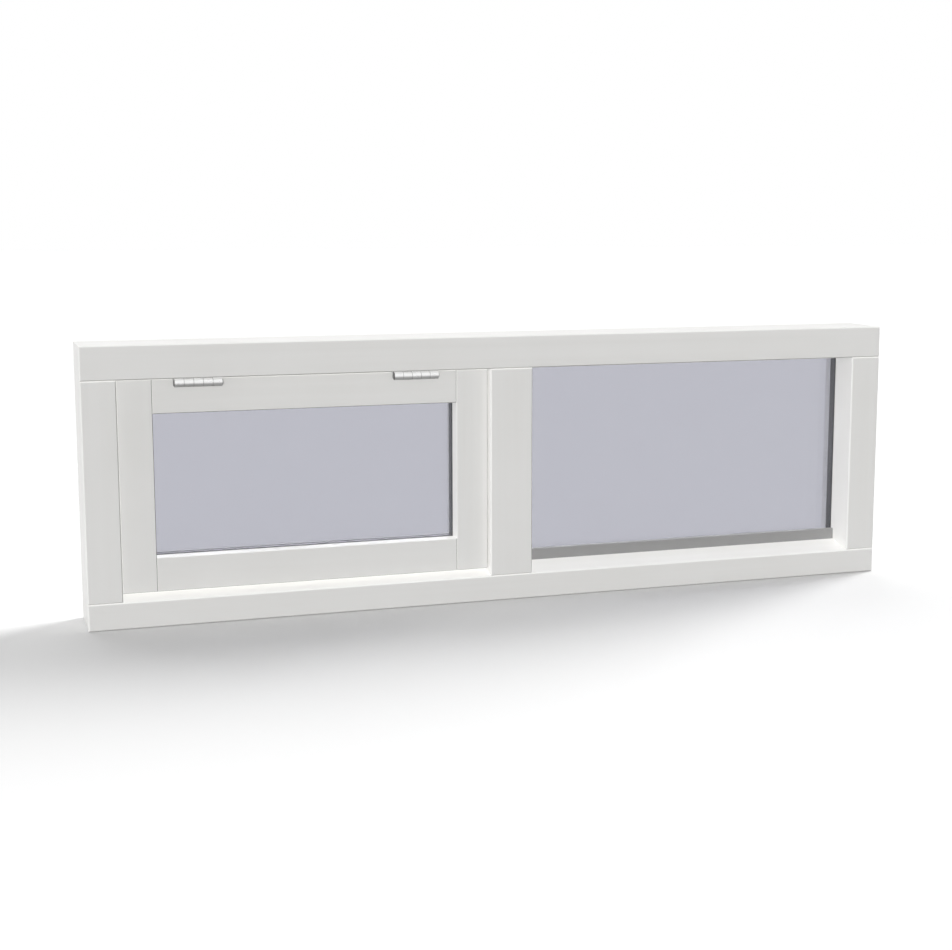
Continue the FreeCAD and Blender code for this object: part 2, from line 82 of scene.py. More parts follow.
class NodeSketch:
    """Adds nodes to one node tree and feeds their sockets."""

    MASK_MIDDLE = (0.3, 0.7)

    def __init__(self, tree: bpy.types.NodeTree) -> None:
        """Keep the tree that the nodes go into."""
        self.tree = tree

    def feed(self, node: bpy.types.Node, feeds: Mapping[Union[str, int], Value]) -> None:
        """Feed inputs of a node.

        Args:
            node: The node.
            feeds: A socket to link or a plain value for each input, by name or number.
        """
        for key, value in feeds.items():
            if isinstance(value, Socket):
                self.tree.links.new(value, node.inputs[key])
            else:
                node.inputs[key].default_value = value

    def add(
        self, kind: str, feeds: Mapping[Union[str, int], Value] | None = None, **settings: object
    ) -> bpy.types.Node:
        """Add a node, set its options and feed its inputs.

        Args:
            kind: The node's type name.
            feeds: A socket to link or a plain value for each input, by name or number.
            **settings: Options of the node, such as its operation.

        Returns:
            The new node.
        """
        node = self.tree.nodes.new(kind)
        for name, option in settings.items():
            setattr(node, name, option)
        self.feed(node, feeds or {})
        return node

    def math(self, operation: str, first: Value, second: Value = 0.0) -> Socket:
        """Add a Math node and return its result."""
        return self.add("ShaderNodeMath", {0: first, 1: second}, operation=operation).outputs[0]

    def per_metre(self, size: Socket) -> Socket:
        """Return how many times a size goes into a metre."""
        return self.math("DIVIDE", 1.0, size)

    def vector(self, **parts: Value) -> Socket:
        """Join parts along X, Y and Z, with 0 for those left out, and return the vector."""
        return self.add("ShaderNodeCombineXYZ", parts).outputs[0]

    def stretch(self, place: Socket, amounts: Socket) -> Socket:
        """Multiply a place by an amount on each axis and return the result."""
        return self.add("ShaderNodeVectorMath", {0: place, 1: amounts}, operation="MULTIPLY").outputs[0]

    def noise(self, place: Socket, scale: Value, detail: float, waver: float = 0.0) -> Socket:
        """Add soft noise.

        Args:
            place: Where on the piece.
            scale: How many of its patches lie in a metre.
            detail: How many layers of finer patches it has.
            waver: How far its patches are pulled about.

        Returns:
            The noise, most of it near a half.
        """
        feeds = {"Vector": place, "Scale": scale, "Detail": detail, "Distortion": waver}
        return self.add("ShaderNodeTexNoise", feeds).outputs[0]

    def rescale(
        self, value: Socket, first: Value, last: Value, low: float = 0.0, high: float = 1.0
    ) -> Socket:
        """Turn the range between two values into another one, without passing its ends.

        Args:
            value: The value to turn.
            first: Where its range starts.
            last: Where its range ends.
            low: The result at the start.
            high: The result at the end.

        Returns:
            The result's socket.
        """
        feeds = {"Value": value, "From Min": first, "From Max": last, "To Min": low, "To Max": high}
        return self.add("ShaderNodeMapRange", feeds).outputs["Result"]

    def spread(self, value: Socket, low: float, high: float) -> Socket:
        """Spread the middle of a mask, where most of it lies, between two values."""
        return self.rescale(value, *self.MASK_MIDDLE, low, high)

    def blend(self, share: Socket, under: Value, over: Colour) -> Socket:
        """Lay a colour over another by a mask.

        Args:
            share: The mask, which is 1 where the upper colour hides the lower one.
            under: The lower colour or its socket.
            over: The upper colour.

        Returns:
            The blended colour's socket.
        """
        if not isinstance(under, Socket):
            under = (*under, 1.0)
        feeds = {0: share, 6: under, 7: (*over, 1.0)}
        return self.add("ShaderNodeMix", feeds, data_type="RGBA").outputs[2]

    def mix_shaders(self, share: Socket, first: bpy.types.Node, second: bpy.types.Node) -> bpy.types.Node:
        """Mix two shaders by the second one's share and return the mixing node."""
        feeds = {0: share, 1: first.outputs[0], 2: second.outputs[0]}
        return self.add("ShaderNodeMixShader", feeds)

    def show(self, shader: bpy.types.Node) -> None:
        """Make a shader the material's surface."""
        self.feed(self.tree.nodes["Material Output"], {"Surface": shader.outputs[0]})


class GroupSketch(NodeSketch):
    """One node group in the making, with named inputs and outputs."""

    PLAIN_SOCKETS = {float: "NodeSocketFloat", int: "NodeSocketInt", tuple: "NodeSocketVector"}

    def __init__(
        self, name: str, kind: str, inputs: Mapping[str, Union[Value, str]], outputs: Mapping[str, str]
    ) -> None:
        """Start the group.

        Args:
            name: The group's name.
            kind: The kind of tree, for shaders or for geometry.
            inputs: Each input's default, or its socket type where it has no default.
            outputs: Each output's socket type.
        """
        super().__init__(bpy.data.node_groups.new(name, kind))
        for label, default in inputs.items():
            socket = self.PLAIN_SOCKETS.get(type(default), default)
            made = self.tree.interface.new_socket(label, in_out="INPUT", socket_type=socket)
            if socket is not default:
                made.default_value = default
        for label, socket in outputs.items():
            self.tree.interface.new_socket(label, in_out="OUTPUT", socket_type=socket)
        self.given = self.add("NodeGroupInput").outputs
        self.result = self.add("NodeGroupOutput")

    def end(self, **results: Socket) -> bpy.types.NodeTree:
        """Link the group's outputs and return its tree."""
        self.feed(self.result, results)
        return self.tree


class SurfaceEffects:
    """Node groups that more than one finish uses, each built once."""

    MASK = {"Mask": "NodeSocketFloat"}
    TONE_AND_HEIGHT = {"Tone": "NodeSocketFloat", "Height": "NodeSocketFloat"}
    BROAD_GRAIN_SCALE = 0.12
    BROAD_GRAIN_DETAIL = 3.0
    BROAD_GRAIN_RELIEF = 0.6
    GRAIN_WAVER = 0.6
    FIBRE_DETAIL = 5.0
    DIMPLE_DETAIL = 1.5
    PATCH_DETAIL = 4.0
    LINE_DETAIL = 2.0
    CLOUD_SIZE = 0.017
    CLOUD_DETAIL = 3.0
    HALF_OF_EACH = 0.5

    def __init__(self) -> None:
        """Build every group."""
        self.long_grain = self.make_long_grain()
        self.film = self.make_film()
        self.specks = self.make_specks()
        self.drawn_lines = self.make_drawn_lines()
        self.slanted_edges = self.make_slanted_edges()

    def make_long_grain(self) -> bpy.types.NodeTree:
        """Build the timber's grain, drawn out along a piece.

        Returns:
            A group with a tone mask and a height.
        """
        inputs = {"Vector": "NodeSocketVector", "Stretch": (1.0, 1.0, 1.0), "Fibre Width": 0.002}
        sketch = GroupSketch("long grain", "ShaderNodeTree", inputs, self.TONE_AND_HEIGHT)
        drawn = sketch.stretch(sketch.given["Vector"], sketch.given["Stretch"])
        per_metre = sketch.per_metre(sketch.given["Fibre Width"])
        broad_scale = sketch.math("MULTIPLY", per_metre, self.BROAD_GRAIN_SCALE)
        broad = sketch.noise(drawn, broad_scale, self.BROAD_GRAIN_DETAIL, self.GRAIN_WAVER)
        fibres = sketch.noise(drawn, per_metre, self.FIBRE_DETAIL)
        broad_relief = sketch.math("MULTIPLY", broad, self.BROAD_GRAIN_RELIEF)
        return sketch.end(Tone=broad, Height=sketch.math("ADD", broad_relief, fibres))

    def make_film(self) -> bpy.types.NodeTree:
        """Build the soft dimples of sprayed paint, moulded rubber and float glass.

        Returns:
            A group with a slow tone mask and a fine height.
        """
        inputs = {"Vector": "NodeSocketVector", "Dimple Size": 0.0015, "Patch Size": 0.12}
        sketch = GroupSketch("surface film", "ShaderNodeTree", inputs, self.TONE_AND_HEIGHT)
        place = sketch.given["Vector"]
        dimples = sketch.noise(place, sketch.per_metre(sketch.given["Dimple Size"]), self.DIMPLE_DETAIL)
        patches = sketch.noise(place, sketch.per_metre(sketch.given["Patch Size"]), self.PATCH_DETAIL)
        return sketch.end(Tone=patches, Height=dimples)

    def make_specks(self) -> bpy.types.NodeTree:
        """Build sparse fine specks, as of dust that dried into a finish.

        Returns:
            A group with a mask that is 1 in the specks.
        """
        inputs = {"Vector": "NodeSocketVector", "Spacing": 0.012, "Share": 0.05}
        sketch = GroupSketch("fine specks", "ShaderNodeTree", inputs, self.MASK)
        feeds = {"Vector": sketch.given["Vector"], "Scale": sketch.per_metre(sketch.given["Spacing"])}
        distance = sketch.add("ShaderNodeTexVoronoi", feeds).outputs["Distance"]
        return sketch.end(Mask=sketch.math("LESS_THAN", distance, sketch.given["Share"]))

    def make_drawn_lines(self) -> bpy.types.NodeTree:
        """Build the fine lines that drawing or brushing leaves in metal.

        Returns:
            A group with a tone mask and a height.
        """
        inputs = {"Vector": "NodeSocketVector", "Stretch": (0.01, 1.0, 1.0), "Line Width": 0.0004}
        sketch = GroupSketch("drawn lines", "ShaderNodeTree", inputs, self.TONE_AND_HEIGHT)
        drawn = sketch.stretch(sketch.given["Vector"], sketch.given["Stretch"])
        lines = sketch.noise(drawn, sketch.per_metre(sketch.given["Line Width"]), self.LINE_DETAIL)
        clouds = sketch.noise(sketch.given["Vector"], 1 / self.CLOUD_SIZE, self.CLOUD_DETAIL)
        tone = sketch.math("MULTIPLY", sketch.math("ADD", lines, clouds), self.HALF_OF_EACH)
        return sketch.end(Tone=tone, Height=lines)

    def make_slanted_edges(self) -> bpy.types.NodeTree:
        """Build the mask of softened edges that look half towards one side of a piece.

        Square, Steep, Slight and Flat are shares of a direction that point to that side: a face
        looks straight at it from Square on, an edge lies between Steep and Slight, and a face
        looks past it up to Flat.

        Returns:
            A group with a mask that is 1 on those edges.
        """
        inputs = {
            "Direction": "NodeSocketVector",
            "Side": (0.0, 0.0, -1.0),
            "Square": 0.95,
            "Steep": 0.80,
            "Slight": 0.60,
            "Flat": 0.45,
        }
        sketch = GroupSketch("slanted edges", "ShaderNodeTree", inputs, self.MASK)
        feeds = {0: sketch.given["Direction"], 1: sketch.given["Side"]}
        share = sketch.add("ShaderNodeVectorMath", feeds, operation="DOT_PRODUCT").outputs["Value"]
        off_square = sketch.rescale(share, sketch.given["Square"], sketch.given["Steep"])
        off_flat = sketch.rescale(share, sketch.given["Flat"], sketch.given["Slight"])
        return sketch.end(Mask=sketch.math("MINIMUM", off_square, off_flat))


class Surface(NodeSketch):
    """One material in the making: its tree, its Principled shader and the piece's own coordinates."""

    def __init__(self, name: str) -> None:
        """Start the material.

        Args:
            name: The material's name.
        """
        self.material = bpy.data.materials.new(name)
        self.material.use_nodes = True
        super().__init__(self.material.node_tree)
        self.shader = self.tree.nodes["Principled BSDF"]
        self.place = self.add("ShaderNodeTexCoord").outputs["Object"]

    def effect(self, group: bpy.types.NodeTree, **sizes: Value) -> bpy.types.Node:
        """Place a shared effect on the piece's own coordinates.

        Args:
            group: The effect's node group.
            **sizes: A value for each of its inputs, with underscores for the spaces.

        Returns:
            The group's node.
        """
        feeds = {key.replace("_", " "): value for key, value in sizes.items()}
        return self.add("ShaderNodeGroup", {"Vector": self.place, **feeds}, node_tree=group)

    def direction(self) -> Socket:
        """Return the direction that a face looks in."""
        return self.add("ShaderNodeNewGeometry").outputs["Normal"]

    def facing(self, axis: str) -> Socket:
        """Return the part along one axis, X, Y or Z, of the direction that a face looks in."""
        return self.add("ShaderNodeSeparateXYZ", {0: self.direction()}).outputs[axis]

    def underside_mask(self, hidden: float, open_side: float) -> Socket:
        """Mask faces that look down, from 1 at one upward part of their direction to 0 at another."""
        return self.rescale(self.facing("Z"), hidden, open_side, 1.0, 0.0)

    def ends(self, side: float, end: float) -> Socket:
        """Mask faces that look along the width, from 0 at one part of their direction to 1 at another."""
        return self.rescale(self.math("ABSOLUTE", self.facing("X")), side, end)

    def edges_towards(self, group: bpy.types.NodeTree, side: tuple[float, float, float]) -> Socket:
        """Mask the softened edges that look half towards one side, by the group for that."""
        feeds = {"Direction": self.direction(), "Side": side}
        return self.add("ShaderNodeGroup", feeds, node_tree=group).outputs["Mask"]

    def dull(self, roughness: Socket, specks: bpy.types.Node, more: float) -> Socket:
        """Roughen a surface by an amount in its specks and return the roughness."""
        added = self.math("MULTIPLY", specks.outputs["Mask"], more)
        return self.math("ADD", roughness, added)

    def finish(self, colour: Socket, roughness: Socket, height: Socket, relief: float) -> bpy.types.Material:
        """Give the shader its colour, its roughness and a bump.

        Args:
            colour: The colour's socket.
            roughness: The roughness's socket.
            height: The relief, from 0 to 1.
            relief: How deep the relief is.

        Returns:
            The material.
        """
        bump = self.add("ShaderNodeBump", {"Height": height, "Distance": relief, "Strength": 1.0})
        feeds = {"Base Color": colour, "Roughness": roughness, "Normal": bump.outputs["Normal"]}
        self.feed(self.shader, feeds)
        return self.material


@dataclass(frozen=True)
class PaintedTimber:
    """White satin paint on softwood, with the grain faintly raised under it."""

    name: str
    grain: Grain
    edge_shade: Colour
    light: Colour = (0.800, 0.796, 0.782)
    deep: Colour = (0.776, 0.771, 0.754)
    speck: Colour = (0.700, 0.692, 0.668)
    fibre_width: float = 0.0022
    dimple_size: float = 0.0012
    patch_size: float = 0.16
    speck_spacing: float = 0.03
    speck_share: float = 0.012
    dimple_share: float = 0.35
    tone_range: tuple[float, float] = (0.12, 0.38)
    relief: float = 0.00009
    roughness: tuple[float, float] = (0.38, 0.50)
    # Sides whose softened edges get the painted shade: edges looking down and edges looking towards +X.
    down_shade_side: tuple[float, float, float] = (0.0, 0.0, -1.0)
    across_shade_side: tuple[float, float, float] = (1.0, 0.0, 0.0)

    def build(self, effects: SurfaceEffects) -> bpy.types.Material:
        """Make the material from the grain, the paint film, a few specks and painted shade on some softened
        edges.

        Args:
            effects: The shared node groups.

        Returns:
            The material.
        """
        surface = Surface(self.name)
        grain = surface.effect(effects.long_grain, Stretch=self.grain.value, Fibre_Width=self.fibre_width)
        film = surface.effect(effects.film, Dimple_Size=self.dimple_size, Patch_Size=self.patch_size)
        specks = surface.effect(effects.specks, Spacing=self.speck_spacing, Share=self.speck_share)
        tone = surface.math("MULTIPLY", grain.outputs["Tone"], film.outputs["Tone"])
        paint = surface.blend(surface.rescale(tone, *self.tone_range), self.light, self.deep)
        colour = surface.blend(specks.outputs["Mask"], paint, self.speck)
        # Painted shade: softened edges that look down or towards +X get a darker colour, standing in for the
        # shade in gaps and joints.
        down_shade = surface.edges_towards(effects.slanted_edges, self.down_shade_side)
        across_shade = surface.edges_towards(effects.slanted_edges, self.across_shade_side)
        colour = surface.blend(surface.math("MAXIMUM", down_shade, across_shade), colour, self.edge_shade)
        dimples = surface.math("MULTIPLY", film.outputs["Height"], self.dimple_share)
        height = surface.math("ADD", dimples, grain.outputs["Height"])
        roughness = surface.spread(film.outputs["Tone"], *self.roughness)
        return surface.finish(colour, roughness, height, self.relief)


@dataclass(frozen=True)
class PaneGlass:
    """Float glass with a faint uneven film, which lets a share of lamp light through each face."""

    name: str
    tint: Colour
    film_tint: Colour
    lamp_share: float
    ripple_size: float = 0.02
    patch_size: float = 0.25
    roughness: tuple[float, float] = (0.0, 0.015)
    refraction: float = 1.5

    def build(self, effects: SurfaceEffects) -> bpy.types.Material:
        """Make the glass, which dims lamps by the same share in every colour.

        Args:
            effects: The shared node groups.

        Returns:
            The material.
        """
        surface = Surface(self.name)
        tone = surface.effect(
            effects.film, Dimple_Size=self.ripple_size, Patch_Size=self.patch_size
        ).outputs["Tone"]
        feeds = {
            "Base Color": surface.blend(tone, self.tint, self.film_tint),
            "Roughness": surface.spread(tone, *self.roughness),
            "Transmission Weight": 1.0,
            "IOR": self.refraction,
        }
        surface.feed(surface.shader, feeds)
        clear = surface.add("ShaderNodeBsdfTransparent", {"Color": grey(self.lamp_share)})
        path = surface.add("ShaderNodeLightPath")
        surface.show(surface.mix_shaders(path.outputs["Is Shadow Ray"], surface.shader, clear))
        return surface.material


@dataclass(frozen=True)
class WorkedMetal:
    """Drawn, plated or anodised metal with fine lines along it."""

    name: str
    light: Colour
    deep: Colour
    metallic: float
    roughness: tuple[float, float]
    stretch: tuple[float, float, float] = (0.01, 1.0, 1.0)
    line_width: float = 0.0005
    speck_spacing: float = 0.008
    speck_share: float = 0.03
    speck_roughness: float = 0.2
    relief: float = 0.00002
    # Colours of painted shade on faces that look down and on the ends along the width, or None for none.
    underside_shade: Colour | None = None
    underside_shade_edge: tuple[float, float] = (-0.30, 0.10)
    end_shade: Colour | None = None
    end_edge: tuple[float, float] = (0.5, 0.9)

    def build(self, effects: SurfaceEffects) -> bpy.types.Material:
        """Make the metal from its lines and a few specks, with painted shade below and at its ends if asked.

        Args:
            effects: The shared node groups.

        Returns:
            The material.
        """
        surface = Surface(self.name)
        lines = surface.effect(effects.drawn_lines, Stretch=self.stretch, Line_Width=self.line_width)
        specks = surface.effect(effects.specks, Spacing=self.speck_spacing, Share=self.speck_share)
        colour = surface.blend(lines.outputs["Tone"], self.light, self.deep)
        # Painted shade: faces that look down get a darker colour.
        if self.underside_shade is not None:
            colour = surface.blend(surface.underside_mask(*self.underside_shade_edge), colour, self.underside_shade)
        # Painted shade: the ends of the knuckles and of the barrel get a darker colour.
        if self.end_shade is not None:
            colour = surface.blend(surface.ends(*self.end_edge), colour, self.end_shade)
        roughness = surface.spread(lines.outputs["Tone"], *self.roughness)
        roughness = surface.dull(roughness, specks, self.speck_roughness)
        surface.feed(surface.shader, {"Metallic": self.metallic})
        return surface.finish(colour, roughness, lines.outputs["Height"], self.relief)


@dataclass(frozen=True)
class MouldedRubber:
    """Matt rubber, sealant or moulded plastic with a soft skin."""

    name: str
    light: Colour
    deep: Colour
    roughness: tuple[float, float] = (0.55, 0.75)
    dimple_size: float = 0.0006
    patch_size: float = 0.03
    speck_spacing: float = 0.012
    speck_share: float = 0.05
    speck_roughness: float = 0.1
    relief: float = 0.00004

    def build(self, effects: SurfaceEffects) -> bpy.types.Material:
        """Make the skin from its dimples and specks.

        Args:
            effects: The shared node groups.

        Returns:
            The material.
        """
        surface = Surface(self.name)
        film = surface.effect(effects.film, Dimple_Size=self.dimple_size, Patch_Size=self.patch_size)
        specks = surface.effect(effects.specks, Spacing=self.speck_spacing, Share=self.speck_share)
        colour = surface.blend(film.outputs["Tone"], self.light, self.deep)
        roughness = surface.spread(film.outputs["Tone"], *self.roughness)
        roughness = surface.dull(roughness, specks, self.speck_roughness)
        return surface.finish(colour, roughness, film.outputs["Height"], self.relief)


class Finishes:
    """Every material of the window, built once and looked up by name."""

    # Colour of the painted shade on each paint's softened edges that look down or towards +X; darkest on the
    # sash.
    PAINT_EDGE_SHADES = {
        "painted_frame": (0.560, 0.554, 0.540),
        "painted_sash": (0.180, 0.177, 0.170),
        "painted_bead": (0.700, 0.694, 0.680),
    }
    OTHERS = (
        PaneGlass("tinted_glass", (0.530, 0.530, 0.587), (0.536, 0.536, 0.593), 0.48),
        PaneGlass("clear_glass", (0.940, 0.945, 0.950), (0.925, 0.932, 0.940), 0.94),
        WorkedMetal("spacer_metal", (0.104, 0.106, 0.105), (0.084, 0.086, 0.085), 0.0, (0.34, 0.44)),
        WorkedMetal("grey_bar", (0.297, 0.296, 0.295), (0.262, 0.261, 0.260), 0.0, (0.45, 0.58)),
        # The hinge steel carries painted shade on its underside and at its knuckle ends.
        WorkedMetal(
            "hinge_steel", (0.930, 0.930, 0.925), (0.880, 0.880, 0.875), 0.5, (0.24, 0.36),
            underside_shade=(0.450, 0.448, 0.445), end_shade=(0.120, 0.118, 0.115),
        ),
        WorkedMetal("hinge_pin", (0.260, 0.260, 0.258), (0.210, 0.210, 0.208), 1.0, (0.28, 0.42)),
        WorkedMetal("bright_screw", (0.640, 0.640, 0.635), (0.540, 0.540, 0.535), 1.0, (0.25, 0.40)),
        WorkedMetal("handle_metal", (0.560, 0.562, 0.565), (0.490, 0.492, 0.495), 1.0, (0.30, 0.42)),
        MouldedRubber("weather_seal", (0.035, 0.035, 0.036), (0.022, 0.022, 0.023)),
        MouldedRubber("setting_block", (0.060, 0.060, 0.062), (0.045, 0.045, 0.047)),
        MouldedRubber("edge_sealant", (0.050, 0.051, 0.053), (0.036, 0.037, 0.039)),
        # Near-black painted shadow for the marks that stand in for the spacer's slots.
        MouldedRubber("slot_shadow", (0.020, 0.020, 0.021), (0.012, 0.012, 0.013)),
    )

    def __init__(self) -> None:
        """Build the shared effects and then each finish."""
        effects = SurfaceEffects()
        paints = [
            PaintedTimber(grain.paint(slot), grain, edge_shade)
            for slot, edge_shade in self.PAINT_EDGE_SHADES.items()
            for grain in Grain
        ]
        self.materials = {maker.name: maker.build(effects) for maker in (*paints, *self.OTHERS)}

    def named(self, name: str) -> bpy.types.Material:
        """Return a finish by its name."""
        return self.materials[name]


@dataclass(frozen=True)
class CountersunkHead:
    """Head of a screw or pin, flush in what it holds, with a cross recess."""

    radius: float
    neck_radius: float
    height: float
    recess_width: float
    recess_depth: float
    seed: int

    def sizes(
        self, spacing: float, facing: Facing, material: bpy.types.Material
    ) -> dict[str, Value]:
        """List the inputs for a row of these heads.

        Args:
            spacing: How far apart the heads stand.
            facing: The way they look.
            material: Their finish.

        Returns:
            A value for each input of the tree that makes heads.
        """
        return {
            "Spacing": spacing,
            "Head Radius": self.radius,
            "Neck Radius": self.neck_radius,
            "Head Height": self.height,
            "Recess Width": self.recess_width,
            "Recess Depth": self.recess_depth,
            "Facing": facing.value,
            "Seed": self.seed,
            "Material": material,
        }


class RepeatSketch(GroupSketch):
    """One geometry tree in the making, for what repeats along edges."""

    def __init__(self, name: str, sizes: Mapping[str, Value]) -> None:
        """Start the tree with inputs for the edges, the sizes and the finish.

        Args:
            name: The tree's name.
            sizes: The default of each size.
        """
        edges = {"Geometry": "NodeSocketGeometry"}
        inputs = {**edges, **sizes, "Material": "NodeSocketMaterial"}
        super().__init__(name, "GeometryNodeTree", inputs, edges)

    def curve(self) -> Socket:
        """Turn the given edges into curves and return them."""
        return self.add("GeometryNodeMeshToCurve", {"Mesh": self.given["Geometry"]}).outputs[0]

    def set_along(self, copy: Socket, turn: Socket) -> bpy.types.NodeTree:
        """Set copies along each edge, as near to the wanted spacing as even steps allow.

        Args:
            copy: What repeats.
            turn: The rotation of each copy.

        Returns:
            The finished tree.
        """
        length = self.add("GeometryNodeSplineLength").outputs["Length"]
        steps = self.math("ROUND", self.math("DIVIDE", length, self.given["Spacing"]))
        feeds = {"Curve": self.curve(), "Count": self.math("ADD", steps, 1.0)}
        points = self.add("GeometryNodeResampleCurve", feeds, mode="COUNT").outputs[0]
        feeds = {"Points": points, "Instance": copy, "Rotation": turn}
        return self.finish(self.add("GeometryNodeInstanceOnPoints", feeds).outputs[0])

    def finish(self, made: Socket) -> bpy.types.NodeTree:
        """Make the copies real, give them their finish and end the tree.

        Args:
            made: The copies.

        Returns:
            The finished tree.
        """
        real = self.add("GeometryNodeRealizeInstances", {"Geometry": made}).outputs[0]
        feeds = {"Geometry": real, "Material": self.given["Material"]}
        return self.end(Geometry=self.add("GeometryNodeSetMaterial", feeds).outputs[0])


class RepeatTrees:
    """Geometry node trees for what repeats along an edge, each built once."""

    HEAD_SIDES = 28
    LINE_SIDES = 8
    CUT_OVERREACH = 1.1

    def __init__(self) -> None:
        """Build every tree."""
        self.heads = self.make_heads()
        self.slots = self.make_slots()
        self.cord = self.make_cord()

    def make_heads(self) -> bpy.types.NodeTree:
        """Build countersunk heads with a cross recess, turned at random.

        Returns:
            The tree.
        """
        sizes = {
            "Spacing": 0.1,
            "Head Radius": 0.003,
            "Neck Radius": 0.0015,
            "Head Height": 0.002,
            "Recess Width": 0.0008,
            "Recess Depth": 0.0008,
            "Facing": (0.0, 0.0, 0.0),
            "Seed": 7,
        }
        sketch = RepeatSketch("screw heads", sizes)
        given = sketch.given
        feeds = {
            "Vertices": self.HEAD_SIDES,
            "Radius Top": given["Head Radius"],
            "Radius Bottom": given["Neck Radius"],
            "Depth": given["Head Height"],
        }
        cone = sketch.add("GeometryNodeMeshCone", feeds).outputs["Mesh"]
        lowered = sketch.vector(Z=sketch.math("MULTIPLY", given["Head Height"], -1.0))
        head = sketch.add("GeometryNodeTransform", {"Geometry": cone, "Translation": lowered}).outputs[0]
        reach = sketch.math("MULTIPLY", given["Head Radius"], self.CUT_OVERREACH)
        depth = sketch.math("ADD", given["Recess Depth"], given["Recess Depth"])
        width = given["Recess Width"]
        for size in (sketch.vector(X=reach, Y=width, Z=depth), sketch.vector(X=width, Y=reach, Z=depth)):
            bar = sketch.add("GeometryNodeMeshCube", {"Size": size}).outputs["Mesh"]
            feeds = {"Mesh 1": head, "Mesh 2": bar}
            carved = sketch.add("GeometryNodeMeshBoolean", feeds, operation="DIFFERENCE", solver="EXACT")
            head = carved.outputs["Mesh"]
        turn = sketch.add("FunctionNodeRandomValue", {2: 0.0, 3: math.pi, "Seed": given["Seed"]})
        spun = sketch.add("FunctionNodeEulerToRotation", {0: sketch.vector(Z=turn.outputs[1])})
        facing = sketch.add("FunctionNodeEulerToRotation", {0: given["Facing"]})
        feeds = {"Rotation": spun.outputs[0], "Rotate By": facing.outputs[0]}
        turned = sketch.add("FunctionNodeRotateRotation", feeds, rotation_space="GLOBAL")
        return sketch.set_along(head, turned.outputs[0])

    def make_slots(self) -> bpy.types.NodeTree:
        """Build thin marks in line with each edge, which carry the painted shadow of a row of punched slots.

        Returns:
            The tree.
        """
        sizes = {"Spacing": 0.005, "Slot Length": 0.002, "Slot Width": 0.0005, "Slot Height": 0.0001}
        sketch = RepeatSketch("slot rows", sizes)
        length, width, height = (sketch.given[f"Slot {side}"] for side in ("Length", "Width", "Height"))
        size = sketch.vector(X=length, Y=width, Z=height)
        mark = sketch.add("GeometryNodeMeshCube", {"Size": size}).outputs["Mesh"]
        feeds = {"Vector": sketch.add("GeometryNodeInputTangent").outputs[0]}
        along = sketch.add("FunctionNodeAlignRotationToVector", feeds, axis="X", pivot_axis="Y")
        return sketch.set_along(mark, along.outputs[0])

    def make_cord(self) -> bpy.types.NodeTree:
        """Build a thin round line of sealant along every edge.

        Returns:
            The tree.
        """
        sketch = RepeatSketch("sealant line", {"Line Radius": 0.0004})
        feeds = {"Resolution": self.LINE_SIDES, "Radius": sketch.given["Line Radius"]}
        outline = sketch.add("GeometryNodeCurvePrimitiveCircle", feeds).outputs[0]
        feeds = {"Curve": sketch.curve(), "Profile Curve": outline, "Fill Caps": True}
        return sketch.finish(sketch.add("GeometryNodeCurveToMesh", feeds).outputs[0])


def grow_along(
    name: str, edges: Iterable[Edge], tree: bpy.types.NodeTree, sizes: Mapping[str, Value]
) -> None:
    """Run a repeat tree along edges and let its result ride with the window as a plain mesh.

    Args:
        name: The new piece's name.
        edges: The two ends of each edge.
        tree: The geometry node tree.
        sizes: A value for each of the tree's named inputs.
    """
    corners = [end for edge in edges for end in edge]
    guide = bpy.data.meshes.new(name + " guide")
    guide.from_pydata(corners, [(i, i + 1) for i in range(0, len(corners), 2)], [])
    carrier = bpy.data.objects.new(name + " guide", guide)
    bpy.context.scene.collection.objects.link(carrier)
    modifier = carrier.modifiers.new("repeat", "NODES")
    modifier.node_group = tree
    for item in tree.interface.items_tree:
        if item.item_type == "SOCKET" and item.in_out == "INPUT" and item.name in sizes:
            modifier[item.identifier] = sizes[item.name]
    graph = bpy.context.evaluated_depsgraph_get()
    mesh = bpy.data.meshes.new_from_object(carrier.evaluated_get(graph))
    carrier.modifiers.remove(modifier)
    bpy.data.objects.remove(carrier)
    bpy.data.meshes.remove(guide)
    mesh.name = name
    piece = bpy.data.objects.new(name, mesh)
    bpy.context.scene.collection.objects.link(piece)
    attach(piece, "root")
    log.info("made %s with %d faces", name, len(mesh.polygons))


def rectangle_edges(low: Vector, high: Vector, depth: float, corner_gap: float) -> list[Edge]:
    """List the four sides of an upright rectangle, each short of its corners.

    Args:
        low: A point at the rectangle's left and bottom.
        high: A point at its right and top.
        depth: Where it stands, from outside to inside.
        corner_gap: How far each side ends before a corner.

    Returns:
        The four sides.
    """
    left, right = low.x + corner_gap, high.x - corner_gap
    bottom, top = low.z + corner_gap, high.z - corner_gap
    return [
        (Vector((left, depth, low.z)), Vector((right, depth, low.z))),
        (Vector((left, depth, high.z)), Vector((right, depth, high.z))),
        (Vector((low.x, depth, bottom)), Vector((low.x, depth, top))),
        (Vector((high.x, depth, bottom)), Vector((high.x, depth, top))),
    ]


